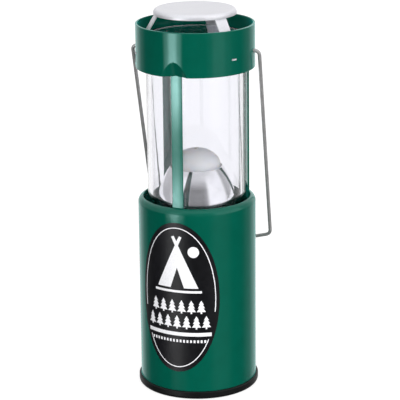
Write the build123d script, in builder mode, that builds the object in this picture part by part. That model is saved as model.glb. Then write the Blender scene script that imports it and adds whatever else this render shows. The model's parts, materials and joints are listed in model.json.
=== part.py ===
from build123d import *
import math
import os

# Collapsible candle lantern. A sliding frame carries the glass chimney, the heat shield and the wire bail
# and drops into the painted base tube. A spring-fed candle cartridge plugs into the tube from below.
# Millimetres. The lantern's axis is Z and it stands on z = 0. Angles are degrees from +X towards +Y.

# ---- driving dimensions ----
clearance = 0.3          # between pieces that move past each other
sheet = 0.8              # gauge of the frame's sheet metal

# painted base tube, with its top edge rolled inwards
tube_radius = 25.0
tube_wall = 0.9
tube_top = 83.6
roll_radius = 2.6
mouth_radius = 22.85

# plastic foot ring under the tube
foot_radius = 25.9
foot_height = 3.4
foot_bore = 20.6
collar_wall = 1.4
collar_top = 9.0

# sliding frame: top band, three posts and a bottom ring held under the rolled edge
band_radius = 24.95
band_bottom = 139.3
band_top = 157.8
post_count = 3
post_angle = 9.0
post_width = 4.9
post_radius = 22.4
ring_radius = 23.8
ring_bottom = 74.2
ring_top = 80.35
ring_bore = 18.95
dimple_half_width = 5.5
dimple_height = 6.2
dimple_floor = 22.25     # how far from the axis the dimple's floor lies at the band's lower edge
dimple_edge = 1.0        # radius of the bend round a dimple

# glass chimney
glass_radius = 20.75
glass_wall = 2.0
glass_top = 153.0

# heat shield: a pressed cap on three sprung legs that hook through slots in the band
leg_count = 3
leg_angle = 69.0
leg_width = 5.8
leg_gauge = 0.5
leg_face = 23.9          # outer face of a leg's flat foot, just inside the band
leg_foot_top = 149.0
leg_foot_bottom = 144.0
leg_shoulder = 15.3
leg_pad_inner = 8.5
tab_width = 2.0
tab_height = 0.6
tab_reach = 25.3
tab_z = 145.8
slot_width = 2.3
slot_height = 1.0
cap_radius = 17.3
cap_gauge = 0.6
cap_top = 163.8
cap_bottom = 161.5
cap_edge_radius = 1.6

# wire bail
bail_wire = 1.5
bail_angle = -15.7       # direction of the pivot axis
bail_tilt = 16.3         # the legs hang this far back from straight down
pivot_z = 146.9
pivot_half_span = 27.4
corner_half_span = 26.1
leg_length = 90.4
grip_drop = 7.0
stub_end = 21.5
pivot_clearance = 0.07

# candle tube: spun, with an ogive top
candle_tube_radius = 17.2
candle_tube_wall = 0.4
candle_tube_bottom = 6.0
ogive_start = 77.0
ogive_top = 96.5
ogive_radius = 34.7

# twist base of the cartridge, with two bayonet lugs
twist_radius = 20.3
twist_height = 5.4
twist_angle = 25.0
grip_bar = 6.5
grip_recess_radius = 16.0
grip_recess_depth = 3.4
spigot_radius = 16.4
spigot_wall = 1.7
spigot_top = 14.0
lug_reach = 17.9
lug_width = 2.6
lug_bottom = 8.8
lug_top = 11.2

# candle, its feed spring and follower
candle_radius = 15.9
candle_bottom = 19.8
candle_tip = 103.9
candle_gap = 0.35
wick_radius = 0.75
wick_top = 104.3
sustainer_radius = 7.0
sustainer_gauge = 0.3
sustainer_collar_top = 23.0
follower_gauge = 0.6
follower_flange = 15.6
follower_skirt = 14.0
follower_skirt_bottom = 15.2
spring_wire = 1.0
spring_radius = 12.4
spring_turns = 5
spring_gap = 0.2

# viewing slots that show how much candle is left
view_angle = 150.0
view_width = 3.0
view_length = 44.0
view_middle = 40.0

# oval label
label_angle = post_angle - 120
label_middle = 45.0
label_half_height = 32.9
label_half_width = 18.5  # measured round the tube
label_gauge = 0.12


def radial_plane(angle):
    """Upright plane through the lantern's axis: local x is the radius at that angle, local y is height."""
    a = math.radians(angle)
    return Plane(origin=(0, 0, 0), x_dir=(math.cos(a), math.sin(a), 0), z_dir=(math.sin(a), -math.cos(a), 0))


def facing_plane(angle, height=0.0):
    """Plane through the axis that looks outwards at that angle: local x runs sideways, local y is up."""
    a = math.radians(angle)
    return Plane(origin=(0, 0, height), x_dir=(-math.sin(a), math.cos(a), 0), z_dir=(math.cos(a), math.sin(a), 0))


def save(name, part):
    """Label one finished piece and write it as a STEP file."""
    part.label = name
    export_step(part, f"parts/{name}.step")


# ---- base tube ----
roll_centre = (tube_radius - roll_radius, tube_top - roll_radius)
inner_roll = roll_radius - tube_wall
outer_roll_sweep = math.degrees(math.acos((mouth_radius - roll_centre[0]) / roll_radius))
inner_roll_sweep = math.degrees(math.acos((mouth_radius - roll_centre[0]) / inner_roll))

with BuildPart() as base_tube:
    with BuildSketch(Plane.XZ):
        with BuildLine():
            outer_wall = Line((tube_radius, foot_height), (tube_radius, roll_centre[1]))
            outer_edge = CenterArc(roll_centre, roll_radius, 0, outer_roll_sweep)
            inner_edge = CenterArc(roll_centre, inner_roll, 0, inner_roll_sweep)
            inner_wall = Line(inner_edge @ 0, (tube_radius - tube_wall, foot_height))
            Line(outer_edge @ 1, inner_edge @ 1)
            Line(outer_wall @ 0, inner_wall @ 1)
        make_face()
    revolve(axis=Axis.Z)
    with BuildSketch(facing_plane(view_angle, view_middle)):
        SlotOverall(view_length, view_width, rotation=90)
    extrude(amount=tube_radius + 1, mode=Mode.SUBTRACT)

# ---- foot ring ----
with BuildPart() as foot_ring:
    with BuildSketch(Plane.XZ):
        with Locations((foot_bore, 0)):
            Rectangle(foot_radius - foot_bore, foot_height, align=(Align.MIN, Align.MIN))
        collar_radius = tube_radius - tube_wall - 0.05
        with Locations((collar_radius - collar_wall, foot_height)):
            Rectangle(collar_wall, collar_top - foot_height, align=(Align.MIN, Align.MIN))
    revolve(axis=Axis.Z)
    fillet(foot_ring.edges().filter_by(GeomType.CIRCLE).group_by(SortBy.RADIUS)[-1].sort_by(Axis.Z)[0], 1.3)
    fillet(foot_ring.edges().filter_by(GeomType.CIRCLE).group_by(SortBy.RADIUS)[-1].sort_by(Axis.Z)[-1], 0.4)

# ---- oval label, wrapped on the tube ----
label_points = []
for step in range(24):
    t = 2 * math.pi * step / 24
    label_points.append((tube_radius * math.sin(label_half_width * math.cos(t) / tube_radius),
                         label_half_height * math.sin(t)))

with BuildPart() as label:
    with BuildSketch(facing_plane(label_angle, label_middle)):
        with BuildLine():
            Spline(*label_points, periodic=True)
        make_face()
    extrude(amount=tube_radius + 2)
    with BuildSketch():
        Circle(tube_radius + label_gauge)
        Circle(tube_radius, mode=Mode.SUBTRACT)
    extrude(amount=tube_top, mode=Mode.INTERSECT)

# ---- sliding frame ----
# Each post leaves the band through a dimple pressed in by a cone that stands outside the band.
edge_depth = math.sqrt(band_radius**2 - dimple_half_width**2)
cone_axis = (edge_depth**2 + dimple_half_width**2 - dimple_floor**2) / (2 * (edge_depth - dimple_floor))
cone_slope = (band_radius - dimple_floor) / dimple_height
cone_margin = 1.0
cone_height = dimple_height + 2 * cone_margin
cone_bottom_radius = cone_axis - dimple_floor + cone_slope * cone_margin
cone_top_radius = cone_bottom_radius - cone_slope * cone_height
upright = (Align.CENTER, Align.CENTER, Align.MIN)
bail_axis = Vector(math.cos(math.radians(bail_angle)), math.sin(math.radians(bail_angle)), 0)


def dimple_cones(growth):
    """Cut the dimples' cones, grown by an offset, out of the part being built."""
    with Locations((0, 0, band_bottom - cone_margin)):
        with PolarLocations(cone_axis, post_count, start_angle=post_angle):
            Cone(cone_bottom_radius + growth, cone_top_radius + growth, cone_height, align=upright,
                 mode=Mode.SUBTRACT)


def frame_post(angle):
    """One post, curved across like the tube, with its foot bent outwards to meet the bottom ring."""
    middle = post_radius - sheet / 2
    step_z = ring_top + sheet / 2
    post_arc = math.degrees(post_width / post_radius)
    with BuildPart() as post:
        with BuildSketch(radial_plane(angle - post_arc / 2)):
            with BuildLine() as strip:
                FilletPolyline((ring_radius - sheet / 2, step_z), (middle, step_z),
                               (middle, band_bottom + 1.5 * sheet), radius=0.5)
            trace(strip.line, sheet)
        revolve(axis=Axis.Z, revolution_arc=post_arc)
        fillet(post.edges().filter_by(Axis.Z).filter_by(lambda e: e.length > 2 * dimple_height), 0.2)
    return post.part


with BuildPart() as band_inside:
    with Locations((0, 0, band_bottom - cone_margin)):
        Cylinder(band_radius - sheet, band_top - band_bottom + 2 * cone_margin, align=upright)
    dimple_cones(sheet)

frame_posts = [frame_post(post_angle + 360 / post_count * i) for i in range(post_count)]

with BuildPart() as slide_frame:
    with Locations((0, 0, band_bottom)):
        Cylinder(band_radius, band_top - band_bottom, align=upright)
    dimple_cones(0)
    fillet(slide_frame.edges().filter_by(GeomType.BSPLINE), dimple_edge)
    rims = slide_frame.edges().group_by(Axis.Z)
    fillet(rims[0] + rims[-1], 0.25)
    add(band_inside.part, mode=Mode.SUBTRACT)
    with BuildSketch(Plane.XZ):
        with Locations((ring_radius - sheet, ring_bottom)):
            Rectangle(sheet, ring_top + sheet / 2 - ring_bottom, align=(Align.MIN, Align.MIN))
        with Locations((ring_bore, ring_bottom)):
            Rectangle(ring_radius - ring_bore, sheet, align=(Align.MIN, Align.MIN))
    revolve(axis=Axis.Z)
    for post in frame_posts:
        add(post)
    with BuildSketch(Plane(origin=(0, 0, pivot_z), z_dir=bail_axis)):
        Circle(bail_wire / 2 + pivot_clearance)
    extrude(amount=band_radius + 1, both=True, mode=Mode.SUBTRACT)
    with Locations((0, 0, tab_z)):
        with PolarLocations(band_radius - sheet / 2, leg_count, start_angle=leg_angle):
            Box(2 * sheet, slot_width, slot_height, mode=Mode.SUBTRACT)

# ---- glass chimney ----
with BuildPart() as glass_chimney:
    with BuildSketch(Plane.XZ):
        glass_bottom = ring_bottom + sheet
        with Locations((glass_radius - glass_wall / 2, (glass_bottom + glass_top) / 2)):
            RectangleRounded(glass_wall, glass_top - glass_bottom, 0.6)
    revolve(axis=Axis.Z)

# ---- heat shield cap ----
cap_inner_edge = cap_edge_radius - cap_gauge
cap_edge_centre = (cap_radius - cap_edge_radius, cap_top - cap_edge_radius)

with BuildPart() as heat_shield_cap:
    with BuildSketch(Plane.XZ):
        with BuildLine():
            skirt_outside = Line((cap_radius, cap_bottom), (cap_radius, cap_edge_centre[1]))
            outer_bend = CenterArc(cap_edge_centre, cap_edge_radius, 0, 90)
            inner_bend = CenterArc(cap_edge_centre, cap_inner_edge, 0, 90)
            skirt_inside = Line(inner_bend @ 0, (cap_radius - cap_gauge, cap_bottom))
            Line(skirt_inside @ 1, skirt_outside @ 0)
            top = Line(outer_bend @ 1, (0, cap_top))
            underside = Line(inner_bend @ 1, (0, cap_top - cap_gauge))
            Line(top @ 1, underside @ 1)
        make_face()
    revolve(axis=Axis.Z)


# ---- heat shield legs ----
def shield_leg(angle):
    """One flat leg: pad under the cap, slope down to the band, upright foot, tab through the band's slot."""
    pad_z = cap_top - cap_gauge - leg_gauge / 2
    foot_x = leg_face - leg_gauge / 2
    with BuildPart() as leg:
        with BuildSketch(radial_plane(angle)):
            with BuildLine() as strip:
                FilletPolyline((leg_pad_inner, pad_z), (leg_shoulder, pad_z), (foot_x, leg_foot_top),
                               (foot_x, leg_foot_bottom), radius=0.9)
            trace(strip.line, leg_gauge)
        extrude(amount=leg_width / 2, both=True)
        with BuildSketch(radial_plane(angle)):
            with Locations((foot_x, tab_z)):
                Rectangle(tab_reach - foot_x, tab_height, align=(Align.MIN, Align.CENTER))
        extrude(amount=tab_width / 2, both=True)
    return leg.part


shield_legs = [shield_leg(leg_angle + 360 / leg_count * i) for i in range(leg_count)]

# ---- bail ----
tilt = math.radians(bail_tilt)
bail_back = Vector(-bail_axis.Y, bail_axis.X, 0)
bail_up = Vector(0, 0, math.cos(tilt)) - bail_back * math.sin(tilt)
bail_plane = Plane(origin=(0, 0, pivot_z), x_dir=bail_axis, z_dir=bail_axis.cross(bail_up))
half_bail = [(stub_end, 0), (pivot_half_span, 0), (corner_half_span, -leg_length)]
bail_points = half_bail + [(0, -leg_length - grip_drop)] + [(-x, y) for x, y in reversed(half_bail)]

with BuildPart() as bail:
    with BuildLine(bail_plane) as bail_path:
        FilletPolyline(*bail_points, radius=[2.0, 2.6, 8.0, 2.6, 2.0])
    with BuildSketch(Plane(origin=bail_path.line @ 0, z_dir=bail_path.line % 0)):
        Circle(bail_wire / 2)
    sweep()

# ---- candle tube ----
ogive_centre = (candle_tube_radius - ogive_radius, ogive_start)
ogive_sweep = math.degrees(math.asin((ogive_top - ogive_start) / ogive_radius))
inner_ogive = ogive_radius - candle_tube_wall
inner_ogive_sweep = math.degrees(math.asin((ogive_top - ogive_start) / inner_ogive))
lug_half_angle = math.degrees((lug_width / 2 + clearance) / candle_tube_radius)
slot_bottom = lug_bottom - clearance
slot_top = lug_top + clearance
lug_angles = (0, 180)

with BuildPart() as candle_tube:
    with BuildSketch(Plane.XZ):
        with BuildLine():
            outside = Line((candle_tube_radius, candle_tube_bottom), (candle_tube_radius, ogive_start))
            outer_ogive_line = CenterArc(ogive_centre, ogive_radius, 0, ogive_sweep)
            inner_ogive_line = CenterArc(ogive_centre, inner_ogive, 0, inner_ogive_sweep)
            inside = Line(inner_ogive_line @ 0, (candle_tube_radius - candle_tube_wall, candle_tube_bottom))
            Line(outer_ogive_line @ 1, inner_ogive_line @ 1)
            Line(outside @ 0, inside @ 1)
        make_face()
    revolve(axis=Axis.Z)
    with BuildSketch(facing_plane(view_angle, view_middle)):
        SlotOverall(view_length + 4, view_width, rotation=90)
    extrude(amount=candle_tube_radius + 1, mode=Mode.SUBTRACT)
    # bayonet slots: along the tube from its lower edge, then round to the locked place
    for lug in lug_angles:
        with BuildSketch(radial_plane(lug - lug_half_angle)):
            with Locations((candle_tube_radius, slot_bottom)):
                Rectangle(2, slot_top - slot_bottom, align=(Align.CENTER, Align.MIN))
        revolve(axis=Axis.Z, revolution_arc=twist_angle + 2 * lug_half_angle, mode=Mode.SUBTRACT)
        with BuildSketch(radial_plane(lug + twist_angle - lug_half_angle)):
            with Locations((candle_tube_radius, candle_tube_bottom - 1)):
                Rectangle(2, slot_top - candle_tube_bottom + 1, align=(Align.CENTER, Align.MIN))
        revolve(axis=Axis.Z, revolution_arc=2 * lug_half_angle, mode=Mode.SUBTRACT)

# ---- twist base ----
with BuildPart() as twist_base:
    with BuildSketch():
        Circle(twist_radius)
    extrude(amount=twist_height)
    chamfer(twist_base.faces().sort_by(Axis.Z)[0].edges(), 0.4)
    with BuildSketch():
        Circle(grip_recess_radius)
        Rectangle(2 * grip_recess_radius, grip_bar, mode=Mode.SUBTRACT)
    extrude(amount=grip_recess_depth, mode=Mode.SUBTRACT)
    with BuildSketch(Plane.XY.offset(twist_height)):
        Circle(spigot_radius)
        Circle(spigot_radius - spigot_wall, mode=Mode.SUBTRACT)
    extrude(amount=spigot_top - twist_height)
    with BuildSketch(Plane.XY.offset(lug_bottom)):
        with PolarLocations(spigot_radius - spigot_wall / 2, len(lug_angles)):
            Rectangle(2 * (lug_reach - spigot_radius) + spigot_wall, lug_width)
        Circle(lug_reach, mode=Mode.INTERSECT)
        Circle(spigot_radius - spigot_wall / 2, mode=Mode.SUBTRACT)
    extrude(amount=lug_top - lug_bottom)

# ---- feed spring and follower ----
spring_low = twist_height + spring_gap + spring_wire / 2
spring_high = candle_bottom - follower_gauge - spring_gap - spring_wire / 2

with BuildPart() as feed_spring:
    with BuildLine(Plane.XY.offset(spring_low)) as coil:
        Helix(pitch=(spring_high - spring_low) / spring_turns, height=spring_high - spring_low, radius=spring_radius)
    with BuildSketch(Plane(origin=coil.line @ 0, z_dir=coil.line % 0)):
        Circle(spring_wire / 2)
    sweep(is_frenet=True)

with BuildPart() as follower:
    with BuildSketch(Plane.XY.offset(candle_bottom - follower_gauge)):
        Circle(follower_flange)
    extrude(amount=follower_gauge)
    with BuildSketch(Plane.XY.offset(follower_skirt_bottom)):
        Circle(follower_skirt)
        Circle(follower_skirt - follower_gauge, mode=Mode.SUBTRACT)
    extrude(until=Until.NEXT)

# ---- candle, wick and wick sustainer ----
candle_arc = inner_ogive - candle_gap
candle_arc_start = math.degrees(math.acos((candle_radius - ogive_centre[0]) / candle_arc))
candle_arc_end = math.degrees(math.asin((ogive_top - ogive_start) / candle_arc))
shoulder_radius = ogive_centre[0] + candle_arc * math.cos(math.radians(candle_arc_end))
bore_radius = wick_radius + 0.05
tip_end = math.degrees(math.acos(bore_radius / shoulder_radius))

with BuildPart() as candle:
    with BuildSketch(Plane.XZ):
        with BuildLine():
            shoulder = CenterArc(ogive_centre, candle_arc, candle_arc_start, candle_arc_end - candle_arc_start)
            tip = EllipticalCenterArc((0, ogive_top), shoulder_radius, candle_tip - ogive_top,
                                      start_angle=0, arc_size=tip_end)
            side = Line(shoulder @ 0, (candle_radius, candle_bottom))
            floor_line = Line(side @ 1, (bore_radius, candle_bottom))
            Line(floor_line @ 1, tip @ 1)
        make_face()
    revolve(axis=Axis.Z)
    with Locations((0, 0, candle_bottom)):
        Cylinder(sustainer_radius + 0.05, sustainer_gauge + 0.02, align=upright, mode=Mode.SUBTRACT)
        Cylinder(2.0, sustainer_collar_top - candle_bottom + 0.05, align=upright, mode=Mode.SUBTRACT)

with BuildPart() as wick_sustainer:
    with BuildSketch(Plane.XY.offset(candle_bottom)):
        Circle(sustainer_radius)
        Circle(bore_radius, mode=Mode.SUBTRACT)
    extrude(amount=sustainer_gauge)
    with BuildSketch(Plane.XY.offset(candle_bottom)):
        Circle(1.8)
        Circle(bore_radius, mode=Mode.SUBTRACT)
    extrude(amount=sustainer_collar_top - candle_bottom)

with BuildPart() as wick:
    with BuildSketch(Plane.XY.offset(candle_bottom + sustainer_gauge)):
        Circle(wick_radius)
    extrude(amount=wick_top - candle_bottom - sustainer_gauge)
    fillet(wick.faces().sort_by(Axis.Z)[-1].edges(), 0.3)

# ---- every piece in its own file ----
save("base_tube", base_tube.part)
save("foot_ring", foot_ring.part)
save("label", label.part)
save("slide_frame", slide_frame.part)
save("glass_chimney", glass_chimney.part)
save("heat_shield_cap", heat_shield_cap.part)
for number, leg in enumerate(shield_legs, start=1):
    save(f"heat_shield_leg_{number}", leg)
save("bail", bail.part)
save("candle_tube", candle_tube.part)
save("twist_base", twist_base.part)
save("feed_spring", feed_spring.part)
save("follower", follower.part)
save("candle", candle.part)
save("wick_sustainer", wick_sustainer.part)
save("wick", wick.part)
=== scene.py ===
"""Looks for a collapsible candle lantern: studio set, materials and fine surface pieces around the CAD frame.

Lengths are metres in the CAD frame: the lantern's axis is Z and it stands on z = 0. Azimuths are degrees
round the axis, measured from -Y (the side that faces the camera) towards +X.
"""

import json
import math

import bmesh
import bpy
from mathutils import Matrix, Vector


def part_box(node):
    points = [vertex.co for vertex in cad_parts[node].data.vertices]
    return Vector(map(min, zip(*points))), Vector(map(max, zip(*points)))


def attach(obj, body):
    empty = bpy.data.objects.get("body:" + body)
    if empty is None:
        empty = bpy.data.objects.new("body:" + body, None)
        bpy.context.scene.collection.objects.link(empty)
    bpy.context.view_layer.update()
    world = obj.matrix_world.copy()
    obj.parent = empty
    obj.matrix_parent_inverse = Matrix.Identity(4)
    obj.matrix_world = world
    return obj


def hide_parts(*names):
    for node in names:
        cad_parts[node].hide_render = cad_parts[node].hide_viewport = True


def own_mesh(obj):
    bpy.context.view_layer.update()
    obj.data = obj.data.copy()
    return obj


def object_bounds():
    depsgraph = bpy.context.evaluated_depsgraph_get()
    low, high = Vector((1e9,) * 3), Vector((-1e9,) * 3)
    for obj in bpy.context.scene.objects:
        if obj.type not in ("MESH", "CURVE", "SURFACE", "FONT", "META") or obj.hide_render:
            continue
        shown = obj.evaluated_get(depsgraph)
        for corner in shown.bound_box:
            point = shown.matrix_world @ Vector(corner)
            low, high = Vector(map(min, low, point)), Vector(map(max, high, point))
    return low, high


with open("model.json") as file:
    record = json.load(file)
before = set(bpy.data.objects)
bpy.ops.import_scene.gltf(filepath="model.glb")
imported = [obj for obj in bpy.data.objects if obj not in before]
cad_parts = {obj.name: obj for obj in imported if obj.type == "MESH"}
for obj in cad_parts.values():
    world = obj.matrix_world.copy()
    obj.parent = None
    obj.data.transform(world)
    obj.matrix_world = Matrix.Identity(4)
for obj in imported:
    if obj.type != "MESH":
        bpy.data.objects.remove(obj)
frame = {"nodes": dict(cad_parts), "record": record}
cad_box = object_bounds()
nodes = frame["nodes"]

MM = 0.001


# ---------------------------------------------------------------- studio
CAMERA_DISTANCE = 0.7637
CAMERA_HEIGHT = 0.3044
CAMERA_PITCH = 0.28474
CAMERA_YAW = 0.0017
CAMERA_ROLL = -0.0105
CAMERA_LENS = 168.1


def make_camera():
    """Long lens, a little above the lantern's top, looking down at its middle."""
    forward = Vector((math.sin(CAMERA_YAW) * math.cos(CAMERA_PITCH),
                      math.cos(CAMERA_YAW) * math.cos(CAMERA_PITCH),
                      -math.sin(CAMERA_PITCH)))
    level = Vector((math.cos(CAMERA_YAW), -math.sin(CAMERA_YAW), 0))
    upright = level.cross(forward)
    right = math.cos(CAMERA_ROLL) * level + math.sin(CAMERA_ROLL) * upright
    up = math.cos(CAMERA_ROLL) * upright - math.sin(CAMERA_ROLL) * level
    data = bpy.data.cameras.new("camera")
    data.lens = CAMERA_LENS
    data.clip_start = 0.01
    camera = bpy.data.objects.new("camera", data)
    bpy.context.scene.collection.objects.link(camera)
    camera.matrix_world = Matrix((
        (right.x, up.x, -forward.x, 0),
        (right.y, up.y, -forward.y, -CAMERA_DISTANCE),
        (right.z, up.z, -forward.z, CAMERA_HEIGHT),
        (0, 0, 0, 1)))
    bpy.context.scene.camera = camera


# What shiny surfaces see. Each list is the brightness round the lantern: (azimuth, brightness). The walls are
# dark towards the camera and white paper behind, with a broad dim soft box on the right. Below them a dark
# table edge cuts off most of its light.
PAPER_LEFT = [(-180, 1.0), (-152, 0.9), (-139, 0.66), (-125, 0.27), (-109, 0.02)]
PAPER_RIGHT = [(94, 0.02), (120, 0.24), (138, 0.62), (151, 0.72), (168, 1.0), (180, 1.0)]
WALLS = PAPER_LEFT + [(-68, 0.01), (-24, 0.03), (18, 0.05), (28, 0.20), (38, 0.70), (52, 0.70), (64, 0.30),
                      (78, 0.08)] + PAPER_RIGHT
TABLE = PAPER_LEFT + [(-64, 0.0), (-46, 0.30), (-32, 0.18), (-16, 0.03), (18, 0.05), (38, 0.24), (54, 0.20),
                      (78, 0.02)] + PAPER_RIGHT
CEILING = [(-180, 1.0), (-130, 0.6), (-100, 0.5), (-62, 0.7), (-50, 1.5), (-38, 1.5), (-28, 0.5), (-16, 0.22),
           (18, 0.22), (28, 0.35), (42, 1.2), (88, 1.2), (104, 0.45), (122, 0.6), (150, 1.0), (180, 1.0)]
ROOF_LIGHT = 0.86
PEAK = 9.0      # brightness of the strongest light, which the ramps' colours are shares of
# Heights on the unit sphere between which each of these hands over to the next.
TABLE_TO_WALLS = (-0.30, -0.23)
WALLS_TO_CEILING = (-0.16, -0.02)
CEILING_TO_ROOF = (0.46, 0.70)
# A narrow bright soft box stands on the left: its brightness round the lantern, and how strong it is at each
# height, as (height on the unit sphere, strength). Two brighter strips, one along its foot and one higher up,
# shine in the front post.
LEFT_BOX = [(-180, 0), (-67, 0), (-58, 2.4), (-48, 8.5), (-41, 8.9), (-32, 3.2), (-23, 0), (180, 0)]
LEFT_BOX_STRENGTH = [(-0.288, 0), (-0.285, 2.3), (-0.280, 1.7), (-0.273, 0.8), (-0.264, 0.4), (-0.256, 0.3),
                     (-0.246, 0.4), (-0.237, 1.0), (-0.228, 1.9), (-0.218, 2.0), (-0.211, 0.85),
                     (-0.16, 0.85), (-0.02, 0)]


def azimuth_ramp(tree, turn, stops):
    """Brightness round the lantern, as a share of the peak. The turn goes from 0 to 1."""
    places = [((angle + 180) / 360, (level / PEAK,) * 3) for angle, level in stops]
    return ramp(tree, turn, places, interpolation="EASE")


def blend_colours(tree, share, a, b):
    """Colour that goes from a to b; b may be a socket or a plain colour."""
    node = tree.nodes.new("ShaderNodeMix")
    node.data_type = "RGBA"
    tree.links.new(share, node.inputs["Factor"])
    tree.links.new(a, node.inputs["A"])
    if isinstance(b, tuple):
        node.inputs["B"].default_value = b
    else:
        tree.links.new(b, node.inputs["B"])
    return node.outputs["Result"]


def left_box(tree, turn, height):
    """Light of the left soft box, as a share of the peak."""
    foot, top = LEFT_BOX_STRENGTH[0][0], LEFT_BOX_STRENGTH[-1][0]
    stops = [((level - foot) / (top - foot), (share,) * 3) for level, share in LEFT_BOX_STRENGTH]
    strength = ramp(tree, grey_ramp(tree, height, foot, 0, top, 1), stops)
    return maths(tree, "MULTIPLY", azimuth_ramp(tree, turn, LEFT_BOX), strength)


def studio_walls(tree, split):
    """What shiny surfaces see: table, walls, ceiling and roof from below upwards, and the left soft box."""
    azimuth = maths(tree, "ARCTAN2", split.outputs["X"], maths(tree, "MULTIPLY", split.outputs["Y"], -1.0))
    turn = maths(tree, "MULTIPLY_ADD", azimuth, 0.5 / math.pi, 0.5)
    height = split.outputs["Z"]
    roof = (ROOF_LIGHT / PEAK,) * 3 + (1,)
    shown = azimuth_ramp(tree, turn, TABLE)
    for (start, end), zone in ((TABLE_TO_WALLS, azimuth_ramp(tree, turn, WALLS)),
                               (WALLS_TO_CEILING, azimuth_ramp(tree, turn, CEILING)),
                               (CEILING_TO_ROOF, roof)):
        shown = blend_colours(tree, grey_ramp(tree, height, start, 0, end, 1), shown, zone)
    shown = maths(tree, "ADD", left_box(tree, turn, height), shown)
    light = tree.nodes.new("ShaderNodeBackground")
    light.inputs["Strength"].default_value = PEAK
    tree.links.new(shown, light.inputs["Color"])
    return light.outputs[0]


# What lights matt surfaces: a soft lobe from the front and right, a weaker one from behind, and a little from
# everywhere. Each lobe is a power of the cosine, so a higher one is narrower.
SOFT_EVERYWHERE = 0.15
FRONT_AZIMUTH = 13
FRONT_ELEVATION = 22
FRONT_STRENGTH = 3.0
FRONT_POWER = 2.3
BEHIND_STRENGTH = 0.9
BEHIND_POWER = 2.0


def soft_light(tree, coords, split):
    """Soft white all round, more from behind, and most from the front and right."""
    a, e = math.radians(FRONT_AZIMUTH), math.radians(FRONT_ELEVATION)
    facing = tree.nodes.new("ShaderNodeVectorMath")
    facing.operation = "DOT_PRODUCT"
    tree.links.new(coords.outputs["Generated"], facing.inputs[0])
    facing.inputs[1].default_value = (math.sin(a) * math.cos(e), -math.cos(a) * math.cos(e), math.sin(e))
    front = maths(tree, "POWER", maths(tree, "MAXIMUM", facing.outputs["Value"], 0.0), FRONT_POWER)
    behind = maths(tree, "POWER", maths(tree, "MAXIMUM", split.outputs["Y"], 0.0), BEHIND_POWER)
    everywhere = maths(tree, "MULTIPLY_ADD", behind, BEHIND_STRENGTH, SOFT_EVERYWHERE)
    light = tree.nodes.new("ShaderNodeBackground")
    light.inputs["Color"].default_value = (1, 1, 1, 1)
    tree.links.new(maths(tree, "MULTIPLY_ADD", front, FRONT_STRENGTH, everywhere), light.inputs["Strength"])
    return light.outputs[0]


def choose_shader(tree, share, first, second):
    """Mix shader: first where share is 0 and second where it is 1."""
    node = tree.nodes.new("ShaderNodeMixShader")
    tree.links.new(share, node.inputs["Fac"])
    tree.links.new(first, node.inputs[1])
    tree.links.new(second, node.inputs[2])
    return node.outputs[0]


def make_world():
    """Soft studio light as an environment. The camera itself sees plain white where there is no floor."""
    world = bpy.data.worlds.new("studio")
    world.use_nodes = True
    tree = world.node_tree
    tree.nodes.clear()
    coords = tree.nodes.new("ShaderNodeTexCoord")
    split = tree.nodes.new("ShaderNodeSeparateXYZ")
    tree.links.new(coords.outputs["Generated"], split.inputs[0])
    path = tree.nodes.new("ShaderNodeLightPath")
    scattered = maths(tree, "GREATER_THAN", path.outputs["Diffuse Depth"], 0.5)
    light = choose_shader(tree, scattered, studio_walls(tree, split), soft_light(tree, coords, split))
    white = tree.nodes.new("ShaderNodeBackground")
    white.inputs["Color"].default_value = (1, 1, 1, 1)
    light = choose_shader(tree, path.outputs["Is Camera Ray"], light, white.outputs[0])
    out = tree.nodes.new("ShaderNodeOutputWorld")
    tree.links.new(light, out.inputs["Surface"])
    bpy.context.scene.world = world
    bpy.context.scene.view_settings.view_transform = "Standard"


FLOOR_HALF = 4.0
FLOOR_GAP = 0.05 * MM
FLOOR_GREY = 0.3
FLOOR_GLOW = 0.82     # keeps the paper white with only a trace of shadow


def make_floor():
    """White paper, large enough to fill every view. It shows in no reflection and lights nothing."""
    corners = rectangle(-FLOOR_HALF, FLOOR_HALF, -FLOOR_HALF, FLOOR_HALF)
    data = bpy.data.meshes.new("floor")
    data.from_pydata([(x, y, 0) for x, y in corners], [], [(0, 1, 2, 3)])
    floor = bpy.data.objects.new("floor", data)
    bpy.context.scene.collection.objects.link(floor)
    floor.location.z = cad_box[0].z - FLOOR_GAP
    floor.visible_glossy = False
    floor.visible_diffuse = False
    mat, tree, shader = new_material("floor_paper")
    shader.inputs["Base Color"].default_value = (FLOOR_GREY, FLOOR_GREY, FLOOR_GREY, 1)
    shader.inputs["Roughness"].default_value = 0.9
    shader.inputs["Emission Color"].default_value = (1, 1, 1, 1)
    shader.inputs["Emission Strength"].default_value = FLOOR_GLOW
    data.materials.append(mat)


# ---------------------------------------------------------------- helpers
def rectangle(left, right, foot, top):
    """Flat outline with those sides."""
    return [(left, foot), (right, foot), (right, top), (left, top)]


def new_material(name):
    """Material with an empty Principled shader: (material, node tree, shader)."""
    mat = bpy.data.materials.new(name)
    mat.use_nodes = True
    tree = mat.node_tree
    tree.nodes.clear()
    shader = tree.nodes.new("ShaderNodeBsdfPrincipled")
    out = tree.nodes.new("ShaderNodeOutputMaterial")
    tree.links.new(shader.outputs[0], out.inputs["Surface"])
    return mat, tree, shader


def maths(tree, operation, a, b, c=None):
    """Math node: each of a, b and c is a socket or a number."""
    node = tree.nodes.new("ShaderNodeMath")
    node.operation = operation
    for index, value in enumerate((a, b, c)):
        if isinstance(value, (int, float)):
            node.inputs[index].default_value = value
        elif value is not None:
            tree.links.new(value, node.inputs[index])
    return node.outputs[0]


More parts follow.
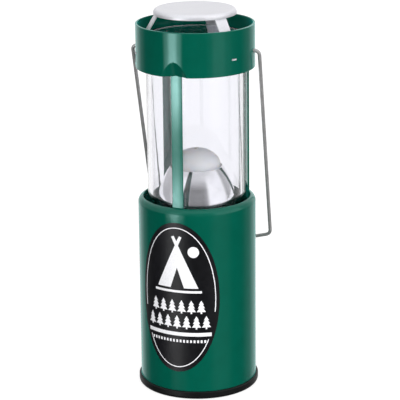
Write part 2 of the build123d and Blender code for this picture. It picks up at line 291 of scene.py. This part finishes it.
def ramp(tree, value, stops, interpolation="LINEAR"):
    """Colour ramp fed by a value, with stops [(place, (r, g, b)), ...] in order."""
    node = tree.nodes.new("ShaderNodeValToRGB")
    node.color_ramp.interpolation = interpolation
    elements = node.color_ramp.elements
    while len(elements) > 1:
        elements.remove(elements[-1])
    elements[0].position = stops[0][0]
    elements[0].color = (*stops[0][1], 1)
    for place, colour in stops[1:]:
        elements.new(place).color = (*colour, 1)
    tree.links.new(value, node.inputs["Fac"])
    return node.outputs["Color"]


def grey_ramp(tree, value, low_at, low, high_at, high):
    """Number that goes from low to high as value goes from low_at to high_at."""
    node = tree.nodes.new("ShaderNodeMapRange")
    node.inputs["From Min"].default_value = low_at
    node.inputs["From Max"].default_value = high_at
    node.inputs["To Min"].default_value = low
    node.inputs["To Max"].default_value = high
    tree.links.new(value, node.inputs["Value"])
    return node.outputs["Result"]


def noise(tree, size, stretch=(1, 1, 1), detail=3.0):
    """Noise with features of about that size in metres, drawn out by stretch along X, Y and Z."""
    coords = tree.nodes.new("ShaderNodeTexCoord")
    mapping = tree.nodes.new("ShaderNodeMapping")
    mapping.inputs["Scale"].default_value = [1 / (size * s) for s in stretch]
    tree.links.new(coords.outputs["Object"], mapping.inputs["Vector"])
    node = tree.nodes.new("ShaderNodeTexNoise")
    node.inputs["Scale"].default_value = 1.0
    node.inputs["Detail"].default_value = detail
    tree.links.new(mapping.outputs["Vector"], node.inputs["Vector"])
    return node.outputs["Fac"]


def bump(tree, height, depth):
    """Bump of that depth in metres for a height of one."""
    node = tree.nodes.new("ShaderNodeBump")
    node.inputs["Strength"].default_value = 1.0
    node.inputs["Distance"].default_value = depth
    tree.links.new(height, node.inputs["Height"])
    return node.outputs["Normal"]


# ---------------------------------------------------------------- materials
def green_paint():
    """Glossy green enamel: faint orange peel, a very slight mottle, and a patchy haze in the gloss."""
    mat, tree, shader = new_material("green_paint")
    mottle = noise(tree, 6 * MM, detail=4)
    colour = ramp(tree, mottle, [(0.30, (0.0002, 0.082, 0.052)), (0.70, (0.0004, 0.090, 0.058))])
    tree.links.new(colour, shader.inputs["Base Color"])
    haze = noise(tree, 2.5 * MM, detail=6)
    tree.links.new(grey_ramp(tree, haze, 0.35, 0.05, 0.75, 0.08), shader.inputs["Roughness"])
    tree.links.new(bump(tree, noise(tree, 0.9 * MM, detail=1.5), 0.002 * MM), shader.inputs["Normal"])
    shader.inputs["Specular Tint"].default_value = (0.58, 1.0, 0.97, 1)
    shader.inputs["Sheen Weight"].default_value = 0.42
    shader.inputs["Sheen Roughness"].default_value = 0.36
    shader.inputs["Sheen Tint"].default_value = (0.12, 1.0, 0.9, 1)
    return mat


def black_plastic():
    """Moulded black plastic with a fine matte grain."""
    mat, tree, shader = new_material("black_plastic")
    grain = noise(tree, 0.35 * MM, detail=4)
    colour = ramp(tree, noise(tree, 6 * MM), [(0.3, (0.003, 0.004, 0.004)), (0.7, (0.006, 0.007, 0.007))])
    tree.links.new(colour, shader.inputs["Base Color"])
    tree.links.new(grey_ramp(tree, grain, 0.3, 0.38, 0.7, 0.52), shader.inputs["Roughness"])
    tree.links.new(bump(tree, grain, 0.03 * MM), shader.inputs["Normal"])
    shader.inputs["Specular IOR Level"].default_value = 0.25
    return mat


def label_vinyl():
    """Semi-gloss black vinyl, with the faint ripple of a sticker pressed on by hand."""
    mat, tree, shader = new_material("label_vinyl")
    colour = ramp(tree, noise(tree, 4 * MM), [(0.3, (0.004, 0.004, 0.006)), (0.7, (0.006, 0.006, 0.009))])
    tree.links.new(colour, shader.inputs["Base Color"])
    tree.links.new(grey_ramp(tree, noise(tree, 2 * MM), 0.3, 0.34, 0.7, 0.44), shader.inputs["Roughness"])
    tree.links.new(bump(tree, noise(tree, 5 * MM), 0.02 * MM), shader.inputs["Normal"])
    shader.inputs["Specular IOR Level"].default_value = 0.4
    return mat


def label_ink():
    """Pale screen-printed ink, thin in places."""
    mat, tree, shader = new_material("label_ink")
    patches = noise(tree, 0.5 * MM, detail=5)
    colour = ramp(tree, patches, [(0.30, (0.78, 0.78, 0.81)), (0.62, (0.90, 0.90, 0.93))])
    tree.links.new(colour, shader.inputs["Base Color"])
    tree.links.new(grey_ramp(tree, noise(tree, 1 * MM), 0.3, 0.35, 0.7, 0.5), shader.inputs["Roughness"])
    tree.links.new(bump(tree, noise(tree, 0.4 * MM), 0.01 * MM), shader.inputs["Normal"])
    return mat


def clear_glass():
    """Clear drawn tube: very faint lengthwise draw lines and a trace of handling haze."""
    mat, tree, shader = new_material("clear_glass")
    shader.inputs["Base Color"].default_value = (0.935, 0.935, 0.965, 1)
    shader.inputs["Transmission Weight"].default_value = 1.0
    shader.inputs["IOR"].default_value = 1.5
    haze = noise(tree, 8 * MM, stretch=(1, 1, 2), detail=5)
    tree.links.new(grey_ramp(tree, haze, 0.45, 0.0, 0.8, 0.05), shader.inputs["Roughness"])
    draw = noise(tree, 1.6 * MM, stretch=(1, 1, 60), detail=1)
    tree.links.new(bump(tree, draw, 0.006 * MM), shader.inputs["Normal"])
    return mat


def satin_aluminium():
    """Pressed sheet with a fine stippled satin skin that scatters most of the light."""
    mat, tree, shader = new_material("satin_aluminium")
    stipple = noise(tree, 0.35 * MM, detail=3)
    colour = ramp(tree, stipple, [(0.3, (0.76, 0.76, 0.80)), (0.7, (0.87, 0.87, 0.92))])
    tree.links.new(colour, shader.inputs["Base Color"])
    haze = noise(tree, 3 * MM, detail=4)
    tree.links.new(grey_ramp(tree, haze, 0.3, 0.34, 0.7, 0.48), shader.inputs["Roughness"])
    tree.links.new(bump(tree, stipple, 0.02 * MM), shader.inputs["Normal"])
    shader.inputs["Metallic"].default_value = 0.55
    return mat


def spun_aluminium():
    """Bright spun tube: rings from the spinning tool, a few darker stains."""
    mat, tree, shader = new_material("spun_aluminium")
    rings = noise(tree, 0.45 * MM, stretch=(60, 60, 1), detail=3)
    stains = noise(tree, 7 * MM, detail=5)
    colour = ramp(tree, stains, [(0.25, (0.84, 0.84, 0.86)), (0.6, (0.95, 0.95, 0.96))])
    tree.links.new(colour, shader.inputs["Base Color"])
    tree.links.new(grey_ramp(tree, rings, 0.3, 0.07, 0.7, 0.15), shader.inputs["Roughness"])
    tree.links.new(bump(tree, rings, 0.008 * MM), shader.inputs["Normal"])
    shader.inputs["Metallic"].default_value = 0.96
    return mat


def steel_wire(name, grey):
    """Drawn or plated steel, dull grey, with lengthwise die lines."""
    mat, tree, shader = new_material(name)
    mottle = noise(tree, 2.5 * MM, detail=5)
    colour = ramp(tree, mottle, [(0.3, (grey * 0.88,) * 3), (0.7, (grey * 1.1,) * 3)])
    tree.links.new(colour, shader.inputs["Base Color"])
    lines = noise(tree, 0.25 * MM, stretch=(1, 1, 20), detail=2)
    tree.links.new(grey_ramp(tree, lines, 0.3, 0.28, 0.7, 0.42), shader.inputs["Roughness"])
    tree.links.new(bump(tree, lines, 0.01 * MM), shader.inputs["Normal"])
    shader.inputs["Metallic"].default_value = 0.5
    return mat


def candle_wax():
    """Cast wax: soft translucent white with cloudy patches."""
    mat, tree, shader = new_material("candle_wax")
    cloud = noise(tree, 4 * MM, detail=4)
    colour = ramp(tree, cloud, [(0.3, (0.94, 0.96, 0.965)), (0.7, (0.97, 0.985, 0.99))])
    tree.links.new(colour, shader.inputs["Base Color"])
    tree.links.new(grey_ramp(tree, cloud, 0.3, 0.38, 0.7, 0.5), shader.inputs["Roughness"])
    tree.links.new(bump(tree, noise(tree, 1.5 * MM), 0.03 * MM), shader.inputs["Normal"])
    shader.inputs["Subsurface Weight"].default_value = 1.0
    shader.inputs["Subsurface Radius"].default_value = (1.0, 0.9, 0.8)
    shader.inputs["Subsurface Scale"].default_value = 5 * MM
    return mat


BRAID_BANDS = 500


def wick_cotton():
    """Braided cotton, stiff with wax."""
    mat, tree, shader = new_material("wick_cotton")
    braid = tree.nodes.new("ShaderNodeTexWave")
    coords = tree.nodes.new("ShaderNodeTexCoord")
    tree.links.new(coords.outputs["Object"], braid.inputs["Vector"])
    braid.wave_type = "BANDS"
    braid.bands_direction = "DIAGONAL"
    braid.inputs["Scale"].default_value = BRAID_BANDS
    colour = ramp(tree, braid.outputs["Fac"], [(0.0, (0.62, 0.60, 0.54)), (1.0, (0.85, 0.84, 0.79))])
    tree.links.new(colour, shader.inputs["Base Color"])
    tree.links.new(bump(tree, braid.outputs["Fac"], 0.1 * MM), shader.inputs["Normal"])
    shader.inputs["Roughness"].default_value = 0.8
    return mat


def paint_cad_nodes():
    """Gives each CAD node its finished material, by the record's slot."""
    finishes = {
        "green_paint": green_paint(),
        "black_plastic": black_plastic(),
        "label_vinyl": label_vinyl(),
        "clear_glass": clear_glass(),
        "satin_aluminium": satin_aluminium(),
        "steel_wire": steel_wire("steel_wire", 0.42),
        "spun_aluminium": spun_aluminium(),
        "spring_steel": steel_wire("spring_steel", 0.5),
        "plated_steel": steel_wire("plated_steel", 0.6),
        "wax": candle_wax(),
        "cotton": wick_cotton(),
    }
    for part in frame["record"]["subparts"]:
        data = nodes[part["node"]].data
        data.materials.clear()
        data.materials.append(finishes[part["material_slot"]])


# ---------------------------------------------------------------- feed spring
def closing_spring():
    """Copy of the feed spring mesh, carried by the cartridge in place of the CAD node."""
    data = nodes["feed_spring"].data.copy()
    piece = bpy.data.objects.new("feed_spring_coil", data)
    bpy.context.scene.collection.objects.link(piece)
    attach(piece, "cartridge")
    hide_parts("feed_spring")
    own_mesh(piece)


# ---------------------------------------------------------------- label print
# Drawn flat on the label, in millimetres from its middle: s round the tube to the right, z up.
INK_LIFT = 0.02 * MM      # gap under the ink
INK_DEPTH = 0.04 * MM
INK_STEP = 1.0            # the flat drawing is cut this often, so that it bends round the tube
INK_MERGE = 0.001 * MM    # corners of the drawing that are nearer than this are one
INK_CUT_SLACK = 0.0001 * MM
LABEL_SAMPLING = 7        # the label's place is taken from every seventh of its vertices
RING_HALF_WIDTH = 16.5
RING_HALF_HEIGHT = 30.5
RING_LINE = 0.38
RING_BREAK = (-17.9, -6.2)    # the ring line stops here for the lower trees and the rule
RING_PIECES = 160
TENT = [(-9.0, 4.6), (-2.7, 4.6), (0.3, 13.5), (3.3, 4.6), (9.4, 4.6), (0.9, 23.2), (2.5, 26.8), (1.4, 27.3),
        (0.2, 25.0), (-1.0, 27.3), (-2.1, 26.8), (-0.5, 23.2)]
GROUND = (-10.4, 10.8, 2.5, 3.5)      # left, right, foot and top
MOON_MIDDLE = (7.4, 20.5)
MOON_RADIUS = 2.4
MOON_SIDES = 32
TREE_HEIGHT = 5.9
TREE_PITCH = 4.2
# one tree: across as a share of the pitch, and up as a share of the height
TREE = [(-0.08, 0), (0.08, 0), (0.08, 0.14), (0.46, 0.14), (0.20, 0.42), (0.36, 0.42), (0.14, 0.68),
        (0.26, 0.68), (0, 1), (-0.26, 0.68), (-0.14, 0.68), (-0.36, 0.42), (-0.20, 0.42), (-0.46, 0.14),
        (-0.08, 0.14)]
TREE_ROWS = [(6, -6.6), (7, -13.5)]    # how many trees, and how high their feet are
RULE = (-14.6, 14.8, -16.7, -15.1)    # left, right, foot and top
DASH_COUNT = 17
DASH_PITCH = 1.5
DASH_SIZE = (0.8, 1.2)
DASH_FOOT = -19.6


def moon():
    """Round outline of the moon."""
    s, z = MOON_MIDDLE
    turns = [2 * math.pi * i / MOON_SIDES for i in range(MOON_SIDES)]
    return [(s + MOON_RADIUS * math.cos(turn), z + MOON_RADIUS * math.sin(turn)) for turn in turns]


def tree_row(count, foot_z):
    """Row of small fir trees, centred on the label."""
    middles = [(i - (count - 1) / 2) * TREE_PITCH for i in range(count)]
    return [[(middle + s * TREE_PITCH, foot_z + z * TREE_HEIGHT) for s, z in TREE] for middle in middles]


def dash_row():
    """Row of small dashes, centred on the label."""
    width, height = DASH_SIZE
    lefts = [(i - (DASH_COUNT - 1) / 2) * DASH_PITCH - width / 2 for i in range(DASH_COUNT)]
    return [rectangle(left, left + width, DASH_FOOT, DASH_FOOT + height) for left in lefts]


def oval_ring():
    """Thin oval line in four-sided pieces, left out between the heights of RING_BREAK."""
    pieces = []
    for i in range(RING_PIECES):
        t0, t1 = 2 * math.pi * i / RING_PIECES, 2 * math.pi * (i + 1) / RING_PIECES
        if RING_BREAK[0] < RING_HALF_HEIGHT * math.sin((t0 + t1) / 2) < RING_BREAK[1]:
            continue
        corners = []
        for t, grow in ((t0, 0), (t0, RING_LINE), (t1, RING_LINE), (t1, 0)):
            corners.append(((RING_HALF_WIDTH + grow) * math.cos(t), (RING_HALF_HEIGHT + grow) * math.sin(t)))
        pieces.append(corners)
    return pieces


def label_frame():
    """The label's outer radius, its middle height and its angle round the axis, from the frame."""
    low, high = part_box("label")
    corners = [vertex.co for vertex in list(nodes["label"].data.vertices)[::LABEL_SAMPLING]]
    middle = sum((Vector((c.x, c.y)).normalized() for c in corners), Vector((0, 0)))
    radius = max(math.hypot(c.x, c.y) for c in corners)
    return radius, (low.z + high.z) / 2, math.atan2(middle.y, middle.x)


def print_on_label(name, outlines, ink):
    """Thin solid ink in the shape of flat outlines, bent round the label."""
    radius, height, angle = label_frame()
    mesh = bmesh.new()
    for outline in outlines:
        mesh.faces.new([mesh.verts.new((s * MM, z * MM, 0)) for s, z in outline])
    bmesh.ops.remove_doubles(mesh, verts=mesh.verts, dist=INK_MERGE)
    bmesh.ops.triangulate(mesh, faces=[face for face in mesh.faces if len(face.verts) > 4])
    reach = max(abs(vert.co.x) for vert in mesh.verts)
    for side in (-1, 1):
        for cut in range(int(reach / (INK_STEP * MM)) + 1):
            place = (side * cut * INK_STEP * MM, 0, 0)
            whole = mesh.verts[:] + mesh.edges[:] + mesh.faces[:]
            bmesh.ops.bisect_plane(mesh, geom=whole, plane_co=place, plane_no=(1, 0, 0), dist=INK_CUT_SLACK)
    top = bmesh.ops.extrude_face_region(mesh, geom=mesh.faces[:])["geom"]
    for item in top:
        if isinstance(item, bmesh.types.BMVert):
            item.co.z += INK_DEPTH
    for vert in mesh.verts:
        turn = angle + vert.co.x / radius
        out = radius + INK_LIFT + vert.co.z
        vert.co = Vector((out * math.cos(turn), out * math.sin(turn), height + vert.co.y))
    bmesh.ops.recalc_face_normals(mesh, faces=mesh.faces)
    data = bpy.data.meshes.new(name)
    mesh.to_mesh(data)
    mesh.free()
    data.materials.append(ink)
    piece = bpy.data.objects.new(name, data)
    bpy.context.scene.collection.objects.link(piece)
    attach(piece, "base")


def print_label():
    """Ring line, tent under a moon, and rows of trees, a rule and dashes in place of words."""
    ink = label_ink()
    print_on_label("label_ring_line", oval_ring(), ink)
    print_on_label("label_tent", [TENT, rectangle(*GROUND), moon()], ink)
    trees = [tree for count, foot_z in TREE_ROWS for tree in tree_row(count, foot_z)]
    print_on_label("label_trees", trees, ink)
    print_on_label("label_rule", [rectangle(*RULE)], ink)
    print_on_label("label_dashes", dash_row(), ink)


# ---------------------------------------------------------------- make everything
make_camera()
make_world()
make_floor()
paint_cad_nodes()
closing_spring()
print_label()
